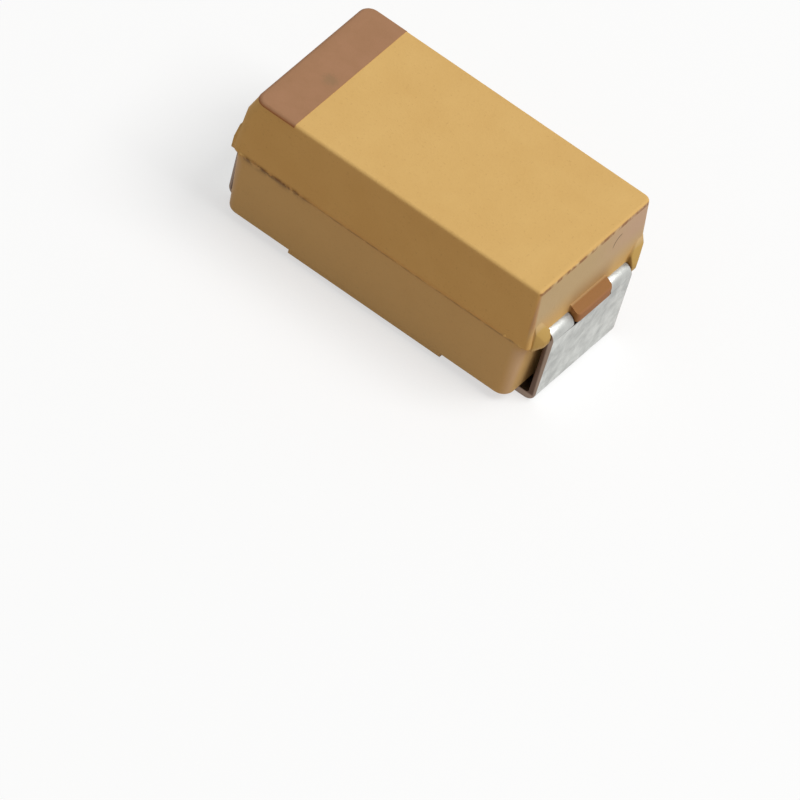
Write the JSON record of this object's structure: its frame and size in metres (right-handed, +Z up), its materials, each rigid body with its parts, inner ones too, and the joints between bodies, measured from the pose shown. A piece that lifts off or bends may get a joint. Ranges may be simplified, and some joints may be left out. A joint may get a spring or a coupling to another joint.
{
  "type": "surface-mount tantalum capacitor",
  "caption": "Moulded surface-mount tantalum capacitor with a drafted two-half case, a polarity band on the anode end and folded terminals under both ends.",
  "frame": {"origin": "middle of the footprint, on the plane the feet are soldered to", "axes": "+X along the case towards the cathode end, -X towards the banded anode end, +Z up out of the board"},
  "size_m": [0.0062, 0.003, 0.0027],
  "materials": {
    "moulded_epoxy": "matte moulded epoxy",
    "printed_ink": "matte ink",
    "tinned_strip": "matte tin over a nickel-iron or copper alloy",
    "sintered_tantalum": "porous sintered metal",
    "graphite": "matte",
    "silver_paint": "matte",
    "tantalum_wire": "drawn",
    "fluoropolymer": "matte",
    "weld_metal": "as welded",
    "silver_adhesive": "matte"
  },
  "bodies": {
    "root": {"moulded_case": "moulded_epoxy", "polarity_band": "printed_ink", "anode_terminal": "tinned_strip", "cathode_terminal": "tinned_strip", "tantalum_pellet": "sintered_tantalum", "graphite_coat": "graphite", "silver_coat": "silver_paint", "tantalum_wire": "tantalum_wire", "insulating_washer": "fluoropolymer", "wire_weld": "weld_metal", "silver_adhesive": "silver_adhesive"}
  },
  "joints": []
}
